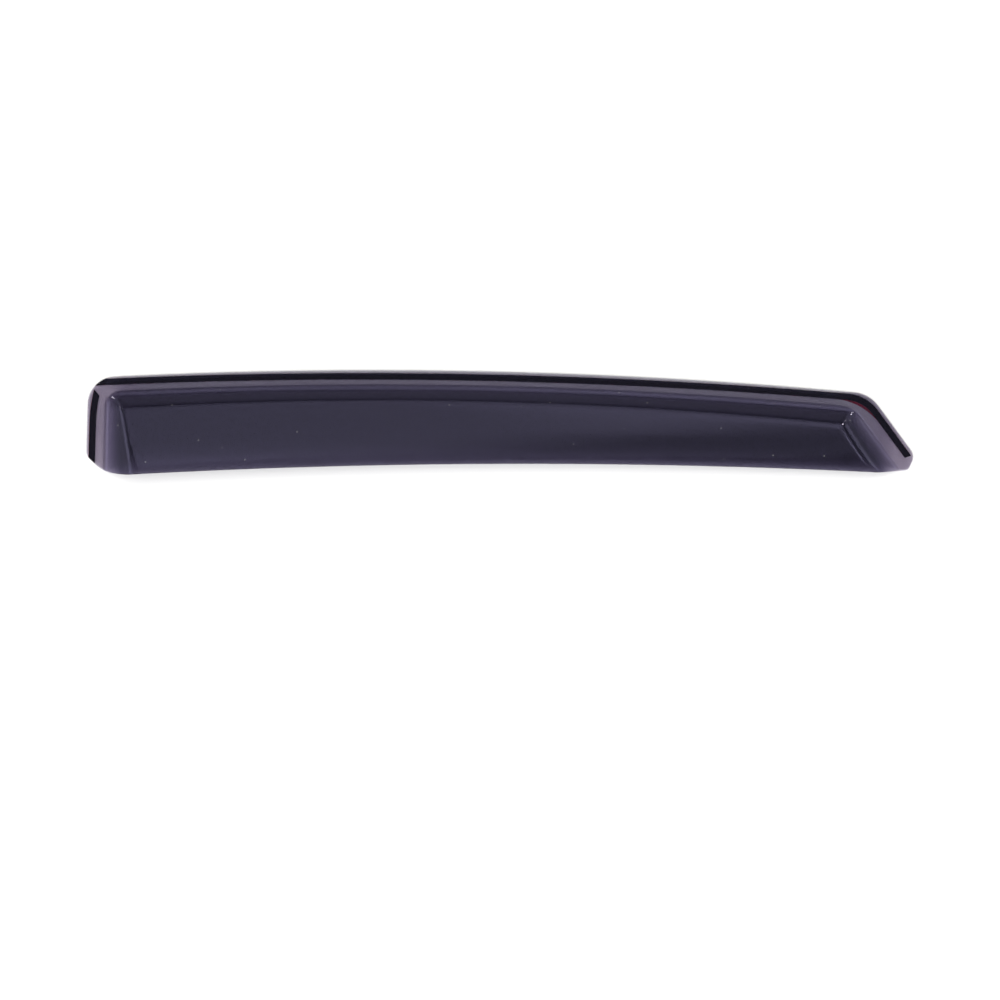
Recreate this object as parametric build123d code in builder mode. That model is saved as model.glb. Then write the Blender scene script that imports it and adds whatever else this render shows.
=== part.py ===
"""Stick-on window rain deflector of smoked acrylic, lying on its tape with the outside up.

Millimetres. +X points to the front of the car, +Y to the roof and +Z out from the door.
The tape's release liners rest on Z = 0, which is the surface the deflector is stuck to.
"""

from build123d import *
from math import radians, sqrt, tan
import os

# Plan outline
length = 827.1
roof_radius = 5200.0
roof_apex_x = -125.85
roof_apex_y = 52.25
lip_radius = 7200.0
lip_apex_x = 25.25
lip_apex_y = -41.6
rear_lean = 2.1
rear_lip_run = 37.7
rear_chamfer_run = 16.3
rear_chamfer_rise = 4.180988
rear_foot_rise = 19.580988
nose_y = -33.0
nose_trim = 1.7
nose_foot_setback = 6.5
nose_foot_y = -47.5
shoulder_setback = 45.4
lip_end_setback = 37.0

# Rounded corners of the outline
rear_top_round = 28.0
rear_foot_round = 12.0
rear_chamfer_round = 30.0
rear_lip_round = 90.0
shoulder_round = 33.0
nose_round = 12.0
nose_foot_round = 5.0
lip_end_round = 60.0
rim_round = 0.6
lip_inner_round = 0.4

# Tape and its release liner
tape_width = 6.35
tape_thickness = 1.1
liner_thickness = 0.13
tape_arch_radius = 5810.0
tape_arch_apex_x = -139.1
tape_arch_apex_y = 46.15
front_tape_margin = 3.1
rear_tape_margin = 2.3
tape_bend_radius = 38.0
liner_bend_radius = 65.0
front_tape_end_y = -34.3
front_tape_cut_angle = 19.6
rear_tape_bend_y = -1.6
rear_tape_bend_radius = 157.0
rear_tape_bend_sweep = 15.0
rear_tape_end_y = 29.9
rear_tape_cut_angle = -49.5
rear_liner_shift = 0.35

# Flange that carries the tape
flange_thickness = 1.0
tape_land_depth = 0.4
roof_flange = 15.3
rear_flange = 15.7
front_flange = 20.5
rear_land_round = 18.0
front_land_round = 28.0

# Raised walls, which grow thicker on their way up to the face
wall_foot_thickness = 1.9
roof_wall_angle = 34.0
roof_inner_angle = 28.1
rear_wall_angle = 30.0
rear_inner_angle = 25.8
front_wall_angle = 26.5
front_inner_angle = 22.2
cove_radius = 12.0
rear_wall_round = 14.0
front_wall_round = 24.0
wall_tip_round = 1.0
wall_rise = 20.0

# Face and its lip
face_thickness = 3.5
crease_radius = 3.0
inner_crease_radius = 2.0
rear_face_height = 10.75
rear_face_tilt = 7.2
front_face_height = 10.3
front_face_apex_y = -35.6
front_face_radius = 515.0
lip_roll_radius = 121.0
lip_roll_run = 11.0

# Room left round the part for trimming it
spare = 30.0
upright_tolerance = 0.001

tape_top = liner_thickness + tape_thickness
flange_top = tape_top + flange_thickness
rear_x = -length / 2
nose_x = length / 2 + nose_trim
low_y = lip_apex_y - lip_roll_radius - spare
high_y = roof_apex_y + spare
outer_angles = (roof_wall_angle, rear_wall_angle, front_wall_angle)
inner_angles = (roof_inner_angle, rear_inner_angle, front_inner_angle)


def roof_y(x):
    """Y of the arched roof edge at x."""
    return roof_apex_y - roof_radius + sqrt(roof_radius**2 - (x - roof_apex_x) ** 2)


def lip_y(x):
    """Y of the arched lower lip at x."""
    return lip_apex_y - lip_radius + sqrt(lip_radius**2 - (x - lip_apex_x) ** 2)


# Corners of the outline before rounding
lip_rear = Vector(rear_x + rear_lip_run, lip_y(rear_x + rear_lip_run))
rear_chamfer = Vector(rear_x + rear_chamfer_run, lip_rear.Y + rear_chamfer_rise)
rear_foot = Vector(rear_x, lip_rear.Y + rear_foot_rise)
rear_top = Vector(rear_x + rear_lean, roof_y(rear_x + rear_lean))
shoulder = Vector(nose_x - shoulder_setback, roof_y(nose_x - shoulder_setback))
nose = Vector(nose_x, nose_y)
nose_foot = Vector(nose_x - nose_foot_setback, nose_foot_y)
lip_front = Vector(nose_x - lip_end_setback, lip_y(nose_x - lip_end_setback))

# The straight rear and front edges, pointing up to the roof, with the way into the part
rear_along = (rear_top - rear_foot).normalized()
rear_inward = Vector(rear_along.Y, -rear_along.X)
front_along = (shoulder - nose).normalized()
front_inward = Vector(-front_along.Y, front_along.X)


def on_arch(point, along, apex, radius):
    """Where a straight edge meets an arch."""
    offset = point - Vector(apex.X, apex.Y - radius)
    half_chord = offset.dot(along)
    reach = offset.dot(offset) - radius**2
    return point + along * (sqrt(half_chord**2 - reach) - half_chord)


def on_level(point, along, y):
    """Where a straight edge meets the level y."""
    return point + along * ((y - point.Y) / along.Y)


def arched_plan(plane, apex, radius, rear_inset, front_inset, rear_round, front_round):
    """Plan under an arch, inside the rear and front edges by the given insets, running out past the lip."""
    rear_point = rear_foot + rear_inward * rear_inset
    front_point = nose + front_inward * front_inset
    rear_high = on_arch(rear_point, rear_along, apex, radius)
    front_high = on_arch(front_point, front_along, apex, radius)
    rear_low = on_level(rear_point, rear_along, low_y)
    front_low = on_level(front_point, front_along, low_y)
    with BuildSketch(plane) as plan:
        with BuildLine():
            Line(rear_low, rear_high)
            ThreePointArc(rear_high, apex, front_high)
            Line(front_high, front_low)
            Line(front_low, rear_low)
        make_face()
        fillet(plan.vertices().sort_by_distance(rear_high)[0], rear_round)
        fillet(plan.vertices().sort_by_distance(front_high)[0], front_round)
    return plan.sketch


def inset_plan(plane, roof_inset, rear_inset, front_inset, rear_round, front_round):
    """Plan inside the roof, rear and front edges at the given insets."""
    apex = Vector(roof_apex_x, roof_apex_y - roof_inset)
    radius = roof_radius - roof_inset
    return arched_plan(plane, apex, radius, rear_inset, front_inset, rear_round, front_round)


def wall_plan(level, rise, angles, foot_lift, rear_round, front_round):
    """Plan of the raised walls at a rise above the level that they start from."""

    def inset(flange, outer_angle, angle):
        foot = flange + cove_radius * tan(radians(outer_angle) / 2)
        return foot + (rise + foot_lift) / tan(radians(angle))

    return inset_plan(
        Plane.XY.offset(level + rise),
        inset(roof_flange, outer_angles[0], angles[0]),
        inset(rear_flange, outer_angles[1], angles[1]),
        inset(front_flange, outer_angles[2], angles[2]),
        rear_round,
        front_round,
    )


def face_block(thickness, end_y):
    """Everything that lies under the face by at least a thickness, as far down as end_y."""
    bottom = flange_top - lip_roll_radius - spare
    rear_level = flange_top + rear_face_height - thickness
    front_level = flange_top + front_face_height - thickness

    def rear_z(y):
        return rear_level - y * tan(radians(rear_face_tilt))

    def front_z(y):
        return front_level - front_face_radius + sqrt(front_face_radius**2 - (y - front_face_apex_y) ** 2)

    with BuildPart() as block:
        with BuildSketch(Plane.YZ.offset(rear_x - spare)):
            with BuildLine():
                low = (end_y, rear_z(end_y))
                high = (high_y, rear_z(high_y))
                Polyline(low, (end_y, bottom), (high_y, bottom), high, close=True)
            make_face()
        with BuildSketch(Plane.YZ.offset(nose_x + spare)):
            with BuildLine():
                low = (end_y, front_z(end_y))
                high = (high_y, front_z(high_y))
                Polyline(low, (end_y, bottom), (high_y, bottom), high)
                ThreePointArc(high, (front_face_apex_y, front_level), low)
            make_face()
        loft(ruled=True)
    return block.part


def rolled_block():
    """The block under the outside of the face, with its lip rolled over."""
    roll_edge = lip_roll_radius - lip_roll_run
    with BuildPart() as block:
        add(face_block(0, low_y))
        bottom = block.part.bounding_box().min.Z
        with BuildSketch(Plane.XY.offset(bottom)):
            with BuildLine():
                edge = ThreePointArc(
                    (rear_x - spare, lip_y(rear_x - spare) - roll_edge),
                    (lip_apex_x, lip_apex_y - roll_edge),
                    (nose_x + spare, lip_y(nose_x + spare) - roll_edge),
                )
                Polyline(edge @ 1, (nose_x + spare, high_y), (rear_x - spare, high_y), edge @ 0)
            make_face()
        extrude(amount=3 * lip_roll_radius, mode=Mode.INTERSECT)
        fillet(block.faces().sort_by(Axis.Y)[0].edges().sort_by(Axis.Z)[-1], lip_roll_radius)
    return block.part


def raised_form(level, angles, foot_lift, under_face, crease):
    """Solid under one skin of the shell: level round the walls, then cove, wall, crease and face."""
    foot = wall_plan(level, 0, angles, foot_lift, rear_wall_round, front_wall_round)
    tip = wall_plan(level, wall_rise, angles, foot_lift, wall_tip_round, wall_tip_round)
    with BuildPart() as form:
        with BuildSketch(Plane.XY.offset(level)):
            with BuildLine():
                Polyline(
                    (rear_x - spare, low_y),
                    (nose_x + 6 * spare, low_y),
                    (nose_x + 6 * spare, high_y),
                    (rear_x - spare, high_y),
                    close=True,
                )
            make_face()
        extrude(amount=-spare)
        loft([foot, tip], ruled=True)
        wall_feet = form.edges(Select.LAST).filter_by_position(Axis.Z, level, level)
        fillet(wall_feet.filter_by_position(Axis.Y, low_y + spare, high_y - spare), cove_radius)
        add(under_face, mode=Mode.INTERSECT)
        face = form.faces().sort_by(Axis.Z)[-1]
        fillet(face.edges().sort_by(Axis.Y)[1:], crease)
    return form.part


def upright_faces(builder):
    """Faces that stand square to the mounting surface."""
    return builder.faces().filter_by(lambda face: abs(face.normal_at(face.center()).Z) < upright_tolerance)


def long_strip(plane, bend_radius):
    """Plan of the strip along the roof edge, round the shoulder and down the slanted front."""

    def side(shift, margin):
        apex = Vector(tape_arch_apex_x, tape_arch_apex_y + shift)
        radius = tape_arch_radius + shift
        return arched_plan(Plane.XY, apex, radius, -4 * spare, margin, spare, bend_radius + shift)

    outer = side(tape_width / 2, front_tape_margin)
    inner = side(-tape_width / 2, front_tape_margin + tape_width)
    middle = nose + front_inward * (front_tape_margin + tape_width / 2)
    end = on_level(middle, front_along, front_tape_end_y)
    with BuildSketch(plane) as strip:
        add(outer)
        add(inner, mode=Mode.SUBTRACT)
        add(outline.sketch, mode=Mode.INTERSECT)
        with Locations(end):
            Rectangle(
                4 * spare,
                4 * spare,
                rotation=front_tape_cut_angle,
                align=(Align.CENTER, Align.MAX),
                mode=Mode.SUBTRACT,
            )
    return strip.sketch


def short_strip(plane, margin):
    """Plan of the strip down the rear end, leaning round the corner at its top."""
    outer_bend = on_level(rear_foot + rear_inward * margin, rear_along, rear_tape_bend_y)
    inner_bend = outer_bend + rear_inward * tape_width
    end = on_level(rear_foot + rear_inward * (margin + tape_width), rear_along, rear_tape_end_y)
    with BuildSketch(plane) as strip:
        with BuildLine():
            outer = JernArc(
                outer_bend, rear_along, rear_tape_bend_radius + tape_width, -rear_tape_bend_sweep
            )
            inner = JernArc(inner_bend, rear_along, rear_tape_bend_radius, -rear_tape_bend_sweep)
            Line(outer @ 1, inner @ 1)
            tail = rear_along * 2 * spare
            Polyline(outer_bend, outer_bend - tail, inner_bend - tail, inner_bend)
        make_face()
        add(outline.sketch, mode=Mode.INTERSECT)
        with Locations(end):
            Rectangle(
                4 * spare,
                4 * spare,
                rotation=rear_tape_cut_angle,
                align=(Align.CENTER, Align.MIN),
                mode=Mode.SUBTRACT,
            )
    return strip.sketch


# Outline of the whole deflector
with BuildSketch() as outline:
    with BuildLine():
        ThreePointArc(rear_top, (roof_apex_x, roof_apex_y), shoulder)
        Line(shoulder, nose)
        Line(nose, nose_foot)
        Line(nose_foot, lip_front)
        ThreePointArc(lip_front, (lip_apex_x, lip_apex_y), lip_rear)
        Line(lip_rear, rear_chamfer)
        Line(rear_chamfer, rear_foot)
        Line(rear_foot, rear_top)
    make_face()
    fillet(outline.vertices().sort_by_distance(rear_top)[0], rear_top_round)
    fillet(outline.vertices().sort_by_distance(shoulder)[0], shoulder_round)
    fillet(outline.vertices().sort_by_distance(nose)[0], nose_round)
    fillet(outline.vertices().sort_by_distance(nose_foot)[0], nose_foot_round)
    fillet(outline.vertices().sort_by_distance(lip_front)[0], lip_end_round)
    fillet(outline.vertices().sort_by_distance(lip_rear)[0], rear_lip_round)
    fillet(outline.vertices().sort_by_distance(rear_chamfer)[0], rear_chamfer_round)
    fillet(outline.vertices().sort_by_distance(rear_foot)[0], rear_foot_round)

os.makedirs("parts", exist_ok=True)

# Moulded shell
land_depth = flange_thickness + tape_land_depth
outside = raised_form(flange_top, outer_angles, 0, rolled_block(), crease_radius)
inside = raised_form(
    flange_top - land_depth,
    inner_angles,
    wall_foot_thickness - land_depth,
    face_block(face_thickness, lip_apex_y - spare),
    inner_crease_radius,
)
land_edge = inset_plan(
    Plane.XY, roof_flange, rear_flange, front_flange, rear_land_round, front_land_round
)

with BuildPart() as deflector_shell:
    extrude(outline.sketch, amount=flange_top + wall_rise)
    add(outside, mode=Mode.INTERSECT)
    rim = upright_faces(deflector_shell).edges().filter_by(Axis.Z, reverse=True)
    fillet(rim.filter_by_position(Axis.Z, tape_top, flange_top + wall_rise), rim_round)
    add(inside, mode=Mode.SUBTRACT)
    with BuildSketch():
        add(outline.sketch)
        add(land_edge, mode=Mode.SUBTRACT)
    extrude(amount=tape_top, mode=Mode.SUBTRACT)
    lip_side = upright_faces(deflector_shell).sort_by(SortBy.AREA)[-1]
    fillet(lip_side.edges().sort_by(SortBy.LENGTH)[-2:].sort_by(Axis.Z)[0], lip_inner_round)
deflector_shell.part.label = "deflector_shell"
export_step(deflector_shell.part, "parts/deflector_shell.step")

# Foam tapes under the flange
tape_plane = Plane.XY.offset(liner_thickness)

with BuildPart() as long_tape:
    extrude(long_strip(tape_plane, tape_bend_radius), amount=tape_thickness)
long_tape.part.label = "long_tape"
export_step(long_tape.part, "parts/long_tape.step")

with BuildPart() as short_tape:
    extrude(short_strip(tape_plane, rear_tape_margin), amount=tape_thickness)
short_tape.part.label = "short_tape"
export_step(short_tape.part, "parts/short_tape.step")

# Release liners under the tapes
with BuildPart() as long_tape_liner:
    extrude(long_strip(Plane.XY, liner_bend_radius), amount=liner_thickness)
long_tape_liner.part.label = "long_tape_liner"
export_step(long_tape_liner.part, "parts/long_tape_liner.step")

with BuildPart() as short_tape_liner:
    extrude(short_strip(Plane.XY, rear_tape_margin - rear_liner_shift), amount=liner_thickness)
short_tape_liner.part.label = "short_tape_liner"
export_step(short_tape_liner.part, "parts/short_tape_liner.step")
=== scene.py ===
import math

import bpy
import numpy as np
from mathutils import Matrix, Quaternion, Vector
from mathutils.geometry import delaunay_2d_cdt


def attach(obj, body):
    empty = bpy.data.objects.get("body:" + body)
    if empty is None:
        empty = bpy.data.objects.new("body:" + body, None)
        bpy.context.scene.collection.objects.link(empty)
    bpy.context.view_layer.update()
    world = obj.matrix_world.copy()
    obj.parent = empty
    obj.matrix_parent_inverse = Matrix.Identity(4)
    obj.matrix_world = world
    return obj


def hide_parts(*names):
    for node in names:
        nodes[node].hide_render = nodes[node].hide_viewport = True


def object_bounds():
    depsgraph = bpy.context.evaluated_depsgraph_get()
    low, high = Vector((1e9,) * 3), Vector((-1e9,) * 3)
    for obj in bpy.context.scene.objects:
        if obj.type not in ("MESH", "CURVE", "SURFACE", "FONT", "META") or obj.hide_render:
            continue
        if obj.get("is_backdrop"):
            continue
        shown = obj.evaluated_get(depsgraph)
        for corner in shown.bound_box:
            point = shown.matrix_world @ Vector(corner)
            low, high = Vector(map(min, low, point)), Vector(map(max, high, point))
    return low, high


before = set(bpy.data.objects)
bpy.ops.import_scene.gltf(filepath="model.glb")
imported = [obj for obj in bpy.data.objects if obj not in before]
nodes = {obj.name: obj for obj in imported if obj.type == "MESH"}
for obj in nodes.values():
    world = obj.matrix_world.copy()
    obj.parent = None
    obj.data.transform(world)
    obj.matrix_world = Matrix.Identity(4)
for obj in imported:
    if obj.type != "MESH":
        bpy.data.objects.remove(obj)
cad_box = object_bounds()
scene = bpy.context.scene

# The shell is drawn in millimetres, in the same frame as the solids, and scaled to metres at the end.
# The camera looks straight down on the outside: +X is to the right of the picture and +Y is up in it.
MM = 0.001

# Plan outline
LENGTH = 827.1
ROOF_RADIUS = 5200.0
ROOF_APEX = (-125.85, 52.25)
LIP_RADIUS = 7200.0
LIP_APEX = (25.25, -41.6)
REAR_LEAN = 2.1
REAR_FOOT_Y = -33.2
REAR_CHAMFER_RUN = 16.3
REAR_CHAMFER_Y = -48.6
REAR_LIP_RUN = 37.7
NOSE_TRIM = 1.7
NOSE_Y = -33.0
NOSE_FOOT_SETBACK = 6.5
NOSE_FOOT_Y = -47.5
SHOULDER_SETBACK = 45.4
LIP_END_SETBACK = 37.0
REAR_X = -LENGTH / 2
NOSE_X = LENGTH / 2 + NOSE_TRIM

# Rounded corners of the outline
REAR_TOP_ROUND = 28.0
SHOULDER_ROUND = 33.0
NOSE_ROUND = 12.0
NOSE_FOOT_ROUND = 5.0
LIP_END_ROUND = 60.0
REAR_LIP_ROUND = 90.0
REAR_CHAMFER_ROUND = 30.0
REAR_FOOT_ROUND = 12.0
RIM_ROUND = 0.6

# Heights and thicknesses
TAPE_TOP = 1.23
TAPE_GRIP = 0.02
FLANGE_TOP = 2.34
FACE_THICKNESS = 3.9

# Each wall's thickness at its foot, the depth over which it grows to the face's, and the power of the growth
WALL_START = {"roof": 1.9, "rear": 1.45, "front": 1.45}
TAPER_RUN = {"roof": 28.0, "rear": 20.5, "front": 15.5}
TAPER_POWER = {"roof": 1.0, "rear": 2.0, "front": 2.0}

# Outside the tape the roof flange is thinner: depth at which that ends, run over which it fades there,
# by how much, and depth behind the two ends at which it starts and run over which it grows there
STRIP_WIDTH = 2.9
STRIP_FADE = 1.2
STRIP_RISE = 0.43
STRIP_END_START = 10.0
STRIP_END_RUN = 20.0

# The lip is thinner on its inside: over which run, by how much, and the least that is left
LIP_THIN_RUN = 9.0
LIP_THIN_RISE = 1.0
LIP_LEAST = 2.2

# Ends, heel and nose are a little thinner: by how much, how deep from the edge fully, and how deep at all
END_THIN = {
    "rear": (0.4, 20.0, 38.0),
    "heel": (0.12, 6.0, 30.0),
    "front": (0.08, 24.0, 40.0),
    "nose": (0.35, 12.0, 40.0),
}

# Walls: width of the flange in front of each wall, outside and on the taped side, and the wall's slope
FLANGE = {"roof": 15.3, "rear": 16.2, "front": 18.8}
LAND = {"roof": 14.3, "rear": 16.6, "front": 21.1}
SLOPE = {"roof": 34.0, "rear": 30.0, "front": 26.5}
COVE_RADIUS = 12.0

# Rounding of the two upper corners of the walls' feet
REAR_CORNER = 18.0
FRONT_CORNER = 28.0

# Blend of the walls at these corners: its strength at the foot, what it loses for each millimetre of height,
# and its least strength
CORNER_BLEND = {"rear": (7.5, 0.6, 2.5), "front": (3.7, 0.25, 1.5)}

# Crease between the walls and the face: its radius, the share of it that the inside has, and the slope of
# the face that it ends in
CREASE_RADIUS = {"roof": 18.0, "rear": 16.0, "front": 28.0}
INSIDE_CREASE = 0.6
CREASE_END_SLOPE = 0.1

# Face: a straight sloping line past the rear end that turns into a shallow arc past the front end
REAR_FACE_HEIGHT = 10.75
REAR_FACE_TILT = 7.2
FRONT_FACE_HEIGHT = 10.3
FRONT_FACE_APEX_Y = -35.6
FRONT_FACE_RADIUS = 515.0
FACE_SPARE = 30.0
LIP_ROLL_RUN = 11.0
LIP_ROLL_DROP = 0.5

# Mesh rings round the rim, down its rounding and just inside it, the room that other lines leave them, and
# the inset that stands for a point on none of the rings
RIM_ANGLES = (0, 18, 36, 54, 72, 90)
RIM_INNER = [0.72, 0.9]
RIM_INSETS = [RIM_ROUND * (1 - math.cos(math.radians(angle))) for angle in RIM_ANGLES] + RIM_INNER
RIM_ROOM = 0.5
NOT_ON_RIM = 99.0

# Mesh lines: spacing along edges and round corners, least steps and radius that a corner is divided by,
# distances from the walls' feet on the taped side, distances up the walls, and how the lines' corners
# sharpen on the way up
RING_STEP = 5.0
CORNER_STEP = 1.2
LEAST_CORNER_STEPS = 3
LEAST_CORNER_RADIUS = 2.0
LAND_LINES = (-9, -6, -3, -0.01, 0.01)
WALL_LINES = np.arange(0.8, 26, 0.8)
REAR_SHARPENING = 0.9
FRONT_SHARPENING = 1.3
LEAST_ROUNDING = 1.5

# Rows of mesh points on the face: distances from the lip, spacing, room left at the two ends of the part,
# and least distance up the walls
FACE_ROWS = (1.6, 2.6, 3.6, 4.6, 5.6, 6.6, 7.6, 8.6, 9.6, 10.6, 12, 14, 16, 18, 20, 24, 28, 32)
ROW_STEP = 6.0
ROW_REAR_ROOM = 34
ROW_FRONT_ROOM = 50
ROW_START = 27

# Steps to find where two edges meet, least rise of a line that can be crossed, distance at which points of
# the plan are one point, and angle in degrees from which an edge is sharp
MEET_STEPS = 8
LEAST_RISE = 1e-9
MERGE_DISTANCE = 1e-5
SHARP_ANGLE = 35


def direction(angle):
    return np.array([math.cos(angle), math.sin(angle)])


class Straight:
    """A straight edge of the plan. How deep a point lies is measured inwards from the edge."""

    def __init__(self, start, end, inside):
        self.start = np.array(start, float)
        along = np.array(end, float) - self.start
        along /= np.hypot(*along)
        self.inward = np.array([-along[1], along[0]])
        if self.depth(np.array(inside, float)) < 0:
            self.inward = -self.inward

    def depth(self, points):
        return (points - self.start) @ self.inward

    def inward_at(self, points):
        return self.inward


class Arched:
    """An arched edge of the plan, with the part on its hollow side or on its round side."""

    def __init__(self, apex, radius, hollow):
        self.centre = np.array([apex[0], apex[1] - radius])
        self.radius = radius
        self.sign = 1.0 if hollow else -1.0

    def depth(self, points):
        offset = points - self.centre
        return self.sign * (self.radius - np.hypot(offset[..., 0], offset[..., 1]))

    def inward_at(self, points):
        offset = points - self.centre
        return -self.sign * offset / np.linalg.norm(offset, axis=-1, keepdims=True)


def arch_y(apex, radius, x):
    return apex[1] - radius + np.sqrt(radius**2 - (x - apex[0]) ** 2)


def roof_y(x):
    return arch_y(ROOF_APEX, ROOF_RADIUS, x)


def lip_y(x):
    return arch_y(LIP_APEX, LIP_RADIUS, x)


rear_foot = (REAR_X, REAR_FOOT_Y)
rear_top = (REAR_X + REAR_LEAN, roof_y(REAR_X + REAR_LEAN))
shoulder = (NOSE_X - SHOULDER_SETBACK, roof_y(NOSE_X - SHOULDER_SETBACK))
nose = (NOSE_X, NOSE_Y)
nose_foot = (NOSE_X - NOSE_FOOT_SETBACK, NOSE_FOOT_Y)
lip_front = (NOSE_X - LIP_END_SETBACK, lip_y(NOSE_X - LIP_END_SETBACK))
lip_rear = (REAR_X + REAR_LIP_RUN, lip_y(REAR_X + REAR_LIP_RUN))
rear_chamfer = (REAR_X + REAR_CHAMFER_RUN, REAR_CHAMFER_Y)

MIDDLE = (0.0, 0.0)
ROOF = Arched(ROOF_APEX, ROOF_RADIUS, True)
FRONT = Straight(shoulder, nose, MIDDLE)
NOSE = Straight(nose, nose_foot, MIDDLE)
FOOT = Straight(nose_foot, lip_front, MIDDLE)
LIP = Arched(LIP_APEX, LIP_RADIUS, False)
HEEL = Straight(lip_rear, rear_chamfer, MIDDLE)
CHAMFER = Straight(rear_chamfer, rear_foot, MIDDLE)
REAR = Straight(rear_foot, rear_top, MIDDLE)
WALLS = {"roof": ROOF, "rear": REAR, "front": FRONT}
ENDS = {"rear": REAR, "heel": CHAMFER, "front": FRONT, "nose": NOSE}

# The outline's corners in order, each with the edge before it, the edge after it and its rounding
CORNERS = [
    (rear_top, REAR, ROOF, REAR_TOP_ROUND),
    (shoulder, ROOF, FRONT, SHOULDER_ROUND),
    (nose, FRONT, NOSE, NOSE_ROUND),
    (nose_foot, NOSE, FOOT, NOSE_FOOT_ROUND),
    (lip_front, FOOT, LIP, LIP_END_ROUND),
    (lip_rear, LIP, HEEL, REAR_LIP_ROUND),
    (rear_chamfer, HEEL, CHAMFER, REAR_CHAMFER_ROUND),
    (rear_foot, CHAMFER, REAR, REAR_FOOT_ROUND),
]


def meet(guess, first, first_depth, second, second_depth):
    """The point that lies at the given depths behind two edges."""
    point = np.array(guess, float)
    for _ in range(MEET_STEPS):
        slopes = np.array([first.inward_at(point), second.inward_at(point)])
        miss = np.array([first_depth - first.depth(point), second_depth - second.depth(point)])
        point = point + np.linalg.solve(slopes, miss)
    return point


def corner_points(guess, first, second, depths, radius):
    """Points round a corner between two edges that are moved inwards by depths."""
    centre = meet(guess, first, depths[0] + radius, second, depths[1] + radius)
    outward = [-first.inward_at(centre), -second.inward_at(centre)]
    angles = [math.atan2(v[1], v[0]) for v in outward]
    turn = (angles[1] - angles[0] + math.pi) % (2 * math.pi) - math.pi
    steps = math.ceil(abs(turn) * max(radius, LEAST_CORNER_RADIUS) / CORNER_STEP)
    count = max(LEAST_CORNER_STEPS, steps)
    return [centre + radius * direction(angles[0] + turn * i / count) for i in range(count + 1)]


def edge_points(edge, depth, start, end, step):
    """Points between two points of an edge that is moved inwards by depth, without the two."""
    count = max(1, round(np.hypot(*(end - start)) / step))
    points = start + (end - start) * (np.arange(1, count) / count)[:, None]
    miss = depth - edge.depth(points)
    return list(points + miss[:, None] * edge.inward_at(points))


def outline_ring(inset):
    """The outline moved inwards by inset, as a closed ring of points."""
    corners = [
        corner_points(point, first, second, (inset, inset), rounding - inset)
        for point, first, second, rounding in CORNERS
    ]
    ring = []
    for index, points in enumerate(corners):
        following = corners[(index + 1) % len(corners)]
        ring += points
        ring += edge_points(CORNERS[index][2], inset, points[-1], following[0], RING_STEP)
    return ring


def wall_line(depths, rear_round, front_round):
    """A line behind the rear, roof and front edges at the given depths, running out past the lip."""
    high_rear = corner_points(rear_top, REAR, ROOF, (depths["rear"], depths["roof"]), rear_round)
    high_front = corner_points(shoulder, ROOF, FRONT, (depths["roof"], depths["front"]), front_round)
    low_rear = meet(rear_foot, REAR, depths["rear"], LIP, 0.0)
    low_front = meet(lip_front, FRONT, depths["front"], LIP, 0.0)
    line = edge_points(REAR, depths["rear"], low_rear, high_rear[0], CORNER_STEP) + high_rear
    line += edge_points(ROOF, depths["roof"], high_rear[-1], high_front[0], RING_STEP) + high_front
    line += edge_points(FRONT, depths["front"], high_front[-1], low_front, CORNER_STEP)
    return line


def smooth_min(first, second, width):
    overlap = np.maximum(width - np.abs(first - second), 0.0)
    return np.minimum(first, second) - overlap**2 / (4 * width)


def smooth_max(first, second, width):
    return -smooth_min(-first, -second, width)


def smooth_step(value):
    value = np.clip(value, 0, 1)
    return value**2 * (3 - 2 * value)


def rounded_drop(inset, radius):
    """How far a rounded edge lies below the flat beside it."""
    reach = np.clip(1 - inset / radius, 0, 1)
    return radius * (1 - np.sqrt(np.maximum(1 - reach**2, 0)))


def face_height(points, wall, rolled):
    """Height of the face, lower by a wall that is measured square to it, and with its lip rolled or not."""
    x, y = points[:, 0], points[:, 1]
    tilt = math.tan(math.radians(REAR_FACE_TILT))
    share = (x - REAR_X + FACE_SPARE) / (NOSE_X - REAR_X + 2 * FACE_SPARE)
    rear = REAR_FACE_HEIGHT - y * tilt
    drop = FRONT_FACE_RADIUS - np.sqrt(FRONT_FACE_RADIUS**2 - (y - FRONT_FACE_APEX_Y) ** 2)
    fall = (1 - share) * tilt + share * (y - FRONT_FACE_APEX_Y) / FRONT_FACE_RADIUS
    height = FLANGE_TOP + (1 - share) * rear + share * (FRONT_FACE_HEIGHT - drop)
    height = height - wall * np.sqrt(1 + fall**2)
    if rolled:
        roll = np.clip(1 - (y - lip_y(x)) / LIP_ROLL_RUN, 0, 1)
        height = height - LIP_ROLL_DROP * roll**2
    return height


def wall_heights(points, wall, starts):
    """Height of the walls, blended at their corners, and the share that each has in the blend."""
    rises = {}
    for name, edge in WALLS.items():
        slope = math.radians(SLOPE[name])
        foot = FLANGE[name] + COVE_RADIUS * math.tan(slope / 2)
        depth = edge.depth(points)
        taper = np.clip((depth - LAND[name]) / TAPER_RUN[name], 0, 1) ** TAPER_POWER[name]
        thick = starts[name] * (1 - taper) + wall * taper
        rises[name] = FLANGE_TOP + (depth - foot) * math.tan(slope) - thick / math.cos(slope)
    lowest = np.min(list(rises.values()), axis=0) - FLANGE_TOP + min(starts.values())
    blend = {
        name: np.clip(most - loss * lowest, least, most)
        for name, (most, loss, least) in CORNER_BLEND.items()
    }
    back = smooth_min(rises["rear"], rises["roof"], blend["rear"])
    height = smooth_min(back, rises["front"], blend["front"])
    rear_share = np.clip(0.5 + (rises["roof"] - rises["rear"]) / (2 * blend["rear"]), 0, 1)
    front_share = np.clip(0.5 + (back - rises["front"]) / (2 * blend["front"]), 0, 1)
    shares = {
        "roof": (1 - front_share) * (1 - rear_share),
        "rear": (1 - front_share) * rear_share,
        "front": front_share,
    }
    return height, shares


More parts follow.
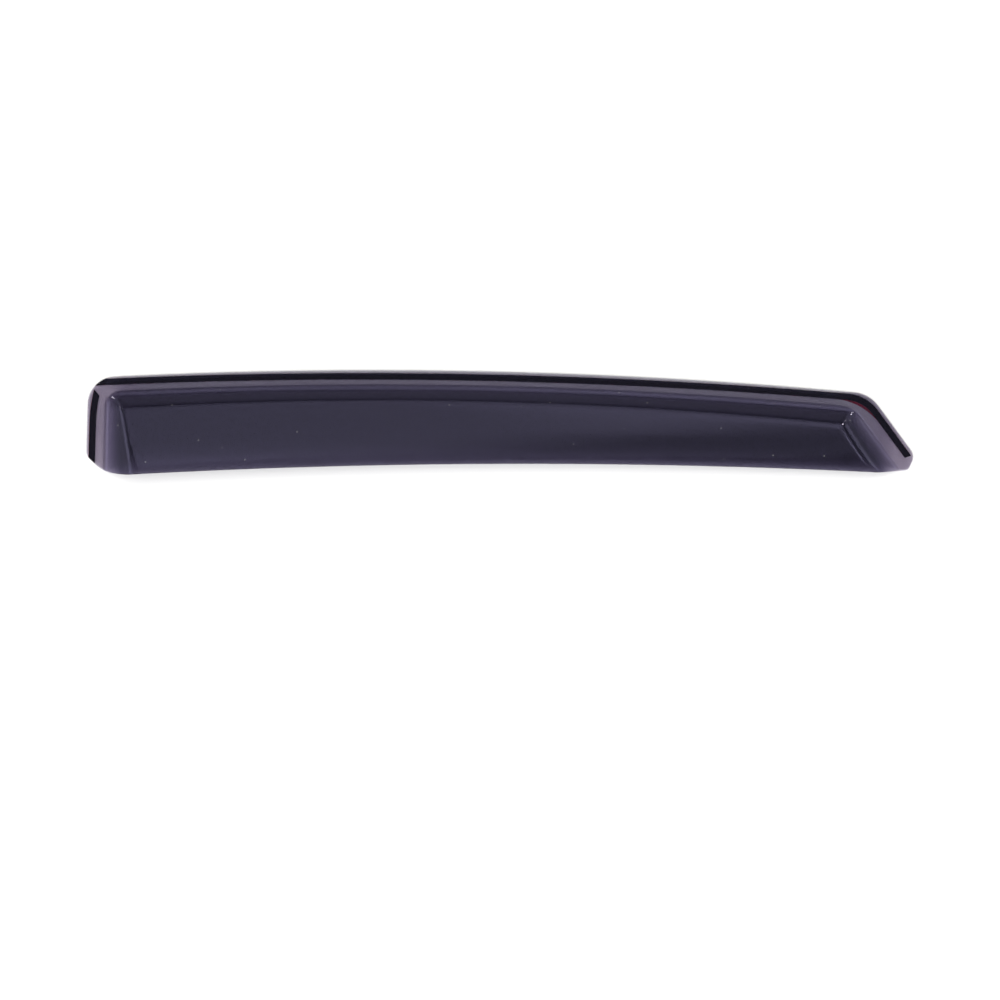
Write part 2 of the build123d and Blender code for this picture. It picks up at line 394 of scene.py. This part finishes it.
def skin_height(points, wall, starts, crease_share, rolled):
    """Height of one skin of the shell: outside with wall 0, inside with the face's thickness."""
    walls, shares = wall_heights(points, wall, starts)
    level, cove, crease = FLANGE_TOP, 0.0, 0.0
    for name, share in shares.items():
        slope = math.radians(SLOPE[name])
        level = level - starts[name] * share
        bend = 0.5 * math.tan(slope) * share
        cove = cove + bend * COVE_RADIUS * math.sin(slope)
        crease = crease + bend * CREASE_RADIUS[name] * crease_share * (math.sin(slope) - CREASE_END_SLOPE)
    raised = smooth_min(walls, face_height(points, wall, rolled), crease)
    return smooth_max(raised, level, cove)


def land_depth(points):
    """How deep a point lies behind the walls' feet, with their two corners rounded."""
    depth = np.min([WALLS[name].depth(points) - LAND[name] for name in WALLS], axis=0)
    for guess, first, second, radius in (
        (rear_top, "rear", "roof", REAR_CORNER),
        (shoulder, "roof", "front", FRONT_CORNER),
    ):
        edges = WALLS[first], WALLS[second]
        centre = meet(guess, edges[0], LAND[first] + radius, edges[1], LAND[second] + radius)
        offset = points - centre
        out = [-edge.inward_at(centre) for edge in edges]
        turn = out[0][0] * out[1][1] - out[0][1] * out[1][0]
        sides = [turn * (offset @ np.array([-v[1], v[0]])) for v in out]
        corner = (sides[0] > 0) & (sides[1] < 0)
        depth = np.where(corner, radius - np.hypot(offset[:, 0], offset[:, 1]), depth)
    return depth


def up_the_walls(distance):
    """Depths behind the edges at a distance up the roof wall, and about as high up on the other walls."""
    return {name: FLANGE[name] + distance * SLOPE["roof"] / SLOPE[name] for name in WALLS}


def within(line, ring):
    """The points that lie inside a ring, by how often a line from each to the right crosses it."""
    line = np.array(line)
    start, end = ring, np.roll(ring, -1, axis=0)
    above = (start[:, 1] > line[:, 1, None]) != (end[:, 1] > line[:, 1, None])
    rise = end[:, 1] - start[:, 1]
    rise = np.where(np.abs(rise) < LEAST_RISE, LEAST_RISE, rise)
    cross = start[:, 0] + (line[:, 1, None] - start[:, 1]) * (end[:, 0] - start[:, 0]) / rise
    return line[np.sum(above & (line[:, 0, None] < cross), axis=1) % 2 == 1]


def inner_lines():
    """Lines of mesh points along the walls' feet, up the walls and along the face."""
    for shift in LAND_LINES:
        depths = {name: LAND[name] + shift for name in WALLS}
        yield wall_line(depths, REAR_CORNER - shift, FRONT_CORNER - shift)
    for distance in WALL_LINES:
        rear_round = max(REAR_CORNER - REAR_SHARPENING * distance, LEAST_ROUNDING)
        front_round = max(FRONT_CORNER - FRONT_SHARPENING * distance, LEAST_ROUNDING)
        yield wall_line(up_the_walls(distance), rear_round, front_round)
    starts = up_the_walls(ROW_START)
    row_x = np.arange(REAR_X + ROW_REAR_ROOM, NOSE_X - ROW_FRONT_ROOM, ROW_STEP)
    for index, distance in enumerate(FACE_ROWS):
        x = row_x + ROW_STEP / 2 * (index % 2)
        row = np.stack([x, lip_y(x) + distance], axis=1)
        room = np.min([WALLS[name].depth(row) - starts[name] for name in WALLS], axis=0)
        yield row[room > 0]


def plan_mesh():
    """Mesh of the plan: points, faces, how far inside the rim's points lie, and the outline's points."""
    points, edges, insets = [], [], []

    def lay(line, closed=False):
        first, count = len(points), len(line)
        points.extend(line)
        edges.extend((first + i, first + i + 1) for i in range(count - 1))
        if closed:
            edges.append((first + count - 1, first))

    for inset in RIM_INSETS:
        ring = outline_ring(inset)
        lay(ring, closed=True)
        insets += [inset] * len(ring)
    inner_ring = np.array(outline_ring(RIM_ROUND + RIM_ROOM))
    for line in inner_lines():
        lay(within(line, inner_ring))

    coords = [Vector(point) for point in points]
    flat, _, faces, sources, _, _ = delaunay_2d_cdt(coords, edges, [], 1, MERGE_DISTANCE)
    rim_inset = np.full(len(flat), NOT_ON_RIM)
    outline = {}
    for index, source in enumerate(sources):
        if source and source[0] < len(insets):
            rim_inset[index] = insets[source[0]]
            if insets[source[0]] == 0.0:
                outline[source[0]] = index
    outline = [outline[source] for source in sorted(outline)]
    return np.array([tuple(point) for point in flat]), [tuple(face) for face in faces], rim_inset, outline


def shell_skins(flat, rim_inset):
    """Heights of the shell's outside and inside at the points of its plan."""
    top = skin_height(flat, 0.0, dict.fromkeys(WALLS, 0.0), 1.0, True) - rounded_drop(rim_inset, RIM_ROUND)
    bottom = skin_height(flat, FACE_THICKNESS, WALL_START, INSIDE_CREASE, False)
    for name, (thin, near, far) in END_THIN.items():
        top = top - thin * smooth_step((far - ENDS[name].depth(flat)) / (far - near))

    lip = LIP_THIN_RISE * np.clip(1 - LIP.depth(flat) / LIP_THIN_RUN, 0, 1) ** 2
    bottom = np.minimum(bottom + lip, np.maximum(bottom, top - LIP_LEAST))
    flange = land_depth(flat) < 0
    bottom = np.where(flange, np.maximum(bottom, TAPE_TOP - TAPE_GRIP), bottom)
    strip = smooth_step((STRIP_WIDTH - ROOF.depth(flat)) / STRIP_FADE)
    for end in (REAR, FRONT):
        strip = strip * smooth_step((end.depth(flat) - STRIP_END_START) / STRIP_END_RUN)
    return top, bottom + STRIP_RISE * strip


def make_shell():
    flat, faces, rim_inset, outline = plan_mesh()
    top, bottom = shell_skins(flat, rim_inset)
    count = len(flat)
    verts = np.concatenate([np.column_stack([flat, top]), np.column_stack([flat, bottom])]) * MM
    inside = [tuple(i + count for i in reversed(face)) for face in faces]
    side = [(a, b, b + count, a + count) for a, b in zip(outline, outline[1:] + outline[:1])]
    mesh = bpy.data.meshes.new("acrylic_shell")
    mesh.from_pydata(verts.tolist(), [], faces + inside + side)
    mesh.validate()
    mesh.shade_smooth()
    mesh.set_sharp_from_angle(angle=math.radians(SHARP_ANGLE))
    shell = bpy.data.objects.new("acrylic_shell", mesh)
    scene.collection.objects.link(shell)
    return shell


# The acrylic takes light away along the path inside it, so that thick parts look darker than the flange
ACRYLIC_IOR = 1.49
ABSORPTION_DENSITY = 811.0
ABSORPTION_COLOUR = (0.10, 0.05, 0.25, 1.0)
SPECULAR_TINT = (0.67, 0.63, 1.0, 1.0)
HAZE_SCALE = 24.0
HAZE_START = 0.3
HAZE_FULL = 0.75
LEAST_ROUGHNESS = 0.01
MOST_ROUGHNESS = 0.05

# Towards the two ends the tint turns a little to purple: distances from the middle, in metres, at which that
# starts and is full
MIDDLE_TINT = (1.0, 1.0, 1.0, 1.0)
END_TINT = (1.0, 0.945, 1.0, 1.0)
END_TINT_START = 0.34
END_TINT_FULL = 0.4

# Specks of dust, one in each fourth cell of a coarse pattern: cells in a metre, cell numbers from which a
# cell has a faint and a full speck, radius in cells at which it starts to fade and ends, and how clear its
# middle is
DUST_SCALE = 40.0
DUST_FAINT = 0.74
DUST_FULL = 0.76
DUST_CORE = 0.012
DUST_EDGE = 0.03
DUST_CLEARNESS = 0.78

# Foam and liner: two tones, fineness of the pattern and depth of its relief
FOAM_TONES = (0.006, 0.005, 0.007, 1.0), (0.014, 0.013, 0.016, 1.0)
FOAM_SCALE = 3500.0
FOAM_RELIEF = 0.1 * MM
LINER_TONES = (0.38, 0.006, 0.03, 1.0), (0.52, 0.014, 0.04, 1.0)
LINER_SCALE = 180.0
LINER_RELIEF = 0.05 * MM

CAMERA_X = 0.25 * MM
CAMERA_Y = -77.6 * MM
CAMERA_DISTANCE = 3.0
FRAME_WIDTH = 1.0
SENSOR_WIDTH = 36.0

FLOOR_COLOUR = (0.94, 0.94, 0.94, 1.0)
FLOOR_SIZE = 60.0
FLOOR_DROP = 0.1 * MM

# Soft patches of light on the studio's dome: compass angle in the picture (0 to the right, 90 up), angle
# from overhead, angles from the middle at which the patch starts to fade and ends, and added brightness
DOME_BRIGHTNESS = 0.33
PATCHES = {
    "top": (90.0, 28.0, 16.0, 20.5, 0.70),
    "top_wide": (75.0, 22.0, 17.0, 19.5, 0.45),
    "top_right": (60.0, 22.0, 10.0, 13.0, 0.45),
    "top_low": (90.0, 68.0, 2.0, 20.0, 0.4),
    "bottom": (270.0, 38.0, 10.0, 36.0, 1.25),
    "left": (178.0, 66.0, 10.0, 34.0, 0.85),
    "left_crease": (168.0, 47.0, 6.0, 18.0, 1.7),
    "left_line": (152.0, 28.0, 4.0, 12.0, 0.4),
    "left_low": (222.0, 52.0, 8.0, 30.0, 1.95),
    "left_corner": (126.0, 64.0, 7.0, 18.0, 0.8),
    "right": (0.0, 42.0, 6.0, 26.0, 0.5),
    "right_low": (320.0, 52.0, 8.0, 30.0, 2.1),
    "right_corner": (60.0, 65.0, 5.0, 14.0, 0.7),
    "front": (33.0, 62.0, 6.0, 24.0, 0.6),
    "front_crease": (33.0, 48.0, 5.0, 10.0, 1.2),
    "front_line": (29.0, 19.0, 2.5, 5.5, 1.6),
}

# Strip lamps, each aimed at an upper corner of the walls: the corner, compass angle and angle from overhead
# as seen from there, turn about the line of sight, width, height and brightness
LAMPS = {
    "strip_left": ((-0.3868, 0.0244), 126.0, 47.0, -11.0, 0.11, 1.15, 15.0),
    "strip_right": ((0.3522, 0.0086), 60.5, 50.0, 8.5, 0.12, 1.3, 18.0),
}
LAMP_DISTANCE = 2.5
LAMP_COLOUR = (1.0, 1.0, 0.75)


def sky_direction(compass, overhead):
    turn, lean = math.radians(compass), math.radians(overhead)
    return Vector((math.cos(turn) * math.sin(lean), math.sin(turn) * math.sin(lean), math.cos(lean)))


class Tree:
    """A node tree, with short calls to add a node and to join two sockets."""

    def __init__(self, owner):
        owner.use_nodes = True
        self.nodes = owner.node_tree.nodes
        self.links = owner.node_tree.links
        self.nodes.clear()

    def add(self, kind, settings=None, **inputs):
        node = self.nodes.new(kind)
        for name, value in (settings or {}).items():
            setattr(node, name, value)
        for name, value in inputs.items():
            node.inputs[name.replace("_", " ")].default_value = value
        return node

    def join(self, source, target):
        self.links.new(source, target)

    def ramp(self, factor, low, high, low_value, high_value, kind="LINEAR"):
        """Carries factor from low..high to low_value..high_value, and holds it at the ends."""
        node = self.add("ShaderNodeMapRange", {"interpolation_type": kind})
        node.inputs["From Min"].default_value = low
        node.inputs["From Max"].default_value = high
        node.inputs["To Min"].default_value = low_value
        node.inputs["To Max"].default_value = high_value
        self.join(factor, node.inputs["Value"])
        return node.outputs["Result"]

    def mix(self, factor, first, second):
        node = self.add("ShaderNodeMix", {"data_type": "RGBA"})
        for socket in node.inputs:
            if socket.type == "RGBA" and socket.name == "A":
                socket.default_value = first
            if socket.type == "RGBA" and socket.name == "B":
                socket.default_value = second
        self.join(factor, node.inputs["Factor"])
        return next(s for s in node.outputs if s.type == "RGBA")


def new_material(name):
    material = bpy.data.materials.new(name)
    tree = Tree(material)
    return material, tree, tree.add("ShaderNodeOutputMaterial")


def smoked_acrylic():
    material, tree, output = new_material("smoked_acrylic_polished")
    place = tree.add("ShaderNodeTexCoord").outputs["Object"]
    shader = tree.add("ShaderNodeBsdfPrincipled", IOR=ACRYLIC_IOR)
    shader.inputs["Specular Tint"].default_value = SPECULAR_TINT

    axes = tree.add("ShaderNodeSeparateXYZ")
    tree.join(place, axes.inputs["Vector"])
    off_centre = tree.add("ShaderNodeMath", {"operation": "ABSOLUTE"})
    tree.join(axes.outputs["X"], off_centre.inputs[0])
    distance = off_centre.outputs["Value"]
    end_share = tree.ramp(distance, END_TINT_START, END_TINT_FULL, 0.0, 1.0, "SMOOTHSTEP")
    tree.join(tree.mix(end_share, MIDDLE_TINT, END_TINT), shader.inputs["Base Color"])

    cells = tree.add("ShaderNodeTexVoronoi", {"voronoi_dimensions": "2D"}, Scale=DUST_SCALE)
    tree.join(place, cells.inputs["Vector"])
    cell_number = tree.add("ShaderNodeSeparateColor")
    tree.join(cells.outputs["Color"], cell_number.inputs["Color"])
    chosen = tree.ramp(cell_number.outputs["Red"], DUST_FAINT, DUST_FULL, 0.0, 1.0)
    spot = tree.ramp(cells.outputs["Distance"], DUST_CORE, DUST_EDGE, 1.0, 0.0, "SMOOTHSTEP")
    speck = tree.add("ShaderNodeMath", {"operation": "MULTIPLY"})
    tree.join(chosen, speck.inputs[0])
    tree.join(spot, speck.inputs[1])
    clear = tree.ramp(speck.outputs["Value"], 0.0, 1.0, 1.0, DUST_CLEARNESS)
    tree.join(clear, shader.inputs["Transmission Weight"])

    haze = tree.add("ShaderNodeTexNoise", Scale=HAZE_SCALE, Detail=6.0, Roughness=0.6)
    tree.join(place, haze.inputs["Vector"])
    hazy = haze.outputs["Fac"]
    roughness = tree.ramp(hazy, HAZE_START, HAZE_FULL, LEAST_ROUGHNESS, MOST_ROUGHNESS)
    tree.join(roughness, shader.inputs["Roughness"])
    absorption = tree.add("ShaderNodeVolumeAbsorption", Color=ABSORPTION_COLOUR, Density=ABSORPTION_DENSITY)
    tree.join(shader.outputs["BSDF"], output.inputs["Surface"])
    tree.join(absorption.outputs["Volume"], output.inputs["Volume"])
    return material


def foam_tape():
    material, tree, output = new_material("black_foam_tape")
    place = tree.add("ShaderNodeTexCoord").outputs["Object"]
    shader = tree.add("ShaderNodeBsdfPrincipled", Roughness=0.8, Specular_IOR_Level=0.05)
    cells = tree.add("ShaderNodeTexVoronoi", Scale=FOAM_SCALE)
    tree.join(place, cells.inputs["Vector"])
    tree.join(tree.mix(cells.outputs["Distance"], *FOAM_TONES), shader.inputs["Base Color"])
    bump = tree.add("ShaderNodeBump", Strength=0.4, Distance=FOAM_RELIEF)
    tree.join(cells.outputs["Distance"], bump.inputs["Height"])
    tree.join(bump.outputs["Normal"], shader.inputs["Normal"])
    tree.join(shader.outputs["BSDF"], output.inputs["Surface"])
    return material


def release_liner():
    material, tree, output = new_material("red_liner_film")
    place = tree.add("ShaderNodeTexCoord").outputs["Object"]
    shader = tree.add("ShaderNodeBsdfPrincipled", Roughness=0.35)
    wrinkle = tree.add("ShaderNodeTexNoise", Scale=LINER_SCALE, Detail=3.0)
    tree.join(place, wrinkle.inputs["Vector"])
    tree.join(tree.mix(wrinkle.outputs["Fac"], *LINER_TONES), shader.inputs["Base Color"])
    bump = tree.add("ShaderNodeBump", Strength=0.2, Distance=LINER_RELIEF)
    tree.join(wrinkle.outputs["Fac"], bump.inputs["Height"])
    tree.join(bump.outputs["Normal"], shader.inputs["Normal"])
    tree.join(shader.outputs["BSDF"], output.inputs["Surface"])
    return material


def dress(node, material):
    mesh = nodes[node].data
    mesh.materials.clear()
    mesh.materials.append(material)


def make_floor():
    bpy.ops.mesh.primitive_plane_add(size=FLOOR_SIZE, location=(0, 0, -FLOOR_DROP))
    floor = bpy.context.object
    floor.name = "floor"
    material, tree, output = new_material("pale_floor")
    shader = tree.add("ShaderNodeBsdfDiffuse", Color=FLOOR_COLOUR)
    tree.join(shader.outputs["BSDF"], output.inputs["Surface"])
    floor.data.materials.append(material)
    floor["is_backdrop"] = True


def make_dome():
    world = bpy.data.worlds.new("studio_dome")
    tree = Tree(world)
    output = tree.add("ShaderNodeOutputWorld")
    background = tree.add("ShaderNodeBackground")
    looking = tree.add("ShaderNodeTexCoord").outputs["Generated"]
    total = None
    for compass, overhead, fade_start, fade_end, brightness in PATCHES.values():
        nearness = tree.add("ShaderNodeVectorMath", {"operation": "DOT_PRODUCT"})
        tree.join(looking, nearness.inputs[0])
        nearness.inputs[1].default_value = sky_direction(compass, overhead)
        edge, core = math.cos(math.radians(fade_end)), math.cos(math.radians(fade_start))
        patch = tree.ramp(nearness.outputs["Value"], edge, core, 0.0, brightness, "SMOOTHSTEP")
        adder = tree.add("ShaderNodeMath", {"operation": "ADD"})
        tree.join(patch, adder.inputs[0])
        adder.inputs[1].default_value = DOME_BRIGHTNESS
        if total is not None:
            tree.join(total, adder.inputs[1])
        total = adder.outputs["Value"]
    tree.join(total, background.inputs["Strength"])
    background.inputs["Color"].default_value = (1.0, 1.0, 1.0, 1.0)
    tree.join(background.outputs["Background"], output.inputs["Surface"])
    scene.world = world


def make_lamp(name, corner, compass, overhead, lean, width, height, brightness):
    data = bpy.data.lights.new(name, "AREA")
    data.shape = "RECTANGLE"
    data.size = width
    data.size_y = height
    data.color = LAMP_COLOUR
    data.energy = brightness * math.pi * width * height
    lamp = bpy.data.objects.new(name, data)
    towards = sky_direction(compass, overhead)
    lamp.location = Vector((*corner, 0.0)) + towards * LAMP_DISTANCE
    turn = (-towards).to_track_quat("-Z", "Y") @ Quaternion((0.0, 0.0, 1.0), math.radians(lean))
    lamp.rotation_euler = turn.to_euler()
    lamp.visible_camera = False
    scene.collection.objects.link(lamp)


def make_camera():
    data = bpy.data.cameras.new("camera")
    data.sensor_width = SENSOR_WIDTH
    data.lens = SENSOR_WIDTH * CAMERA_DISTANCE / FRAME_WIDTH
    camera = bpy.data.objects.new("camera", data)
    camera.location = (CAMERA_X, CAMERA_Y, FLANGE_TOP * MM + CAMERA_DISTANCE)
    scene.collection.objects.link(camera)
    scene.camera = camera


make_camera()
make_floor()
make_dome()
for name, settings in LAMPS.items():
    make_lamp(name, *settings)

shell = make_shell()
shell.data.materials.append(smoked_acrylic())
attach(shell, "root")
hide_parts("deflector_shell")

tape = foam_tape()
liner = release_liner()
dress("long_tape", tape)
dress("short_tape", tape)
dress("long_tape_liner", liner)
dress("short_tape_liner", liner)

scene.view_settings.view_transform = "Standard"

boxes = {"cad": cad_box, "visual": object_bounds()}
{name: [list(corner) for corner in box] for name, box in boxes.items()}
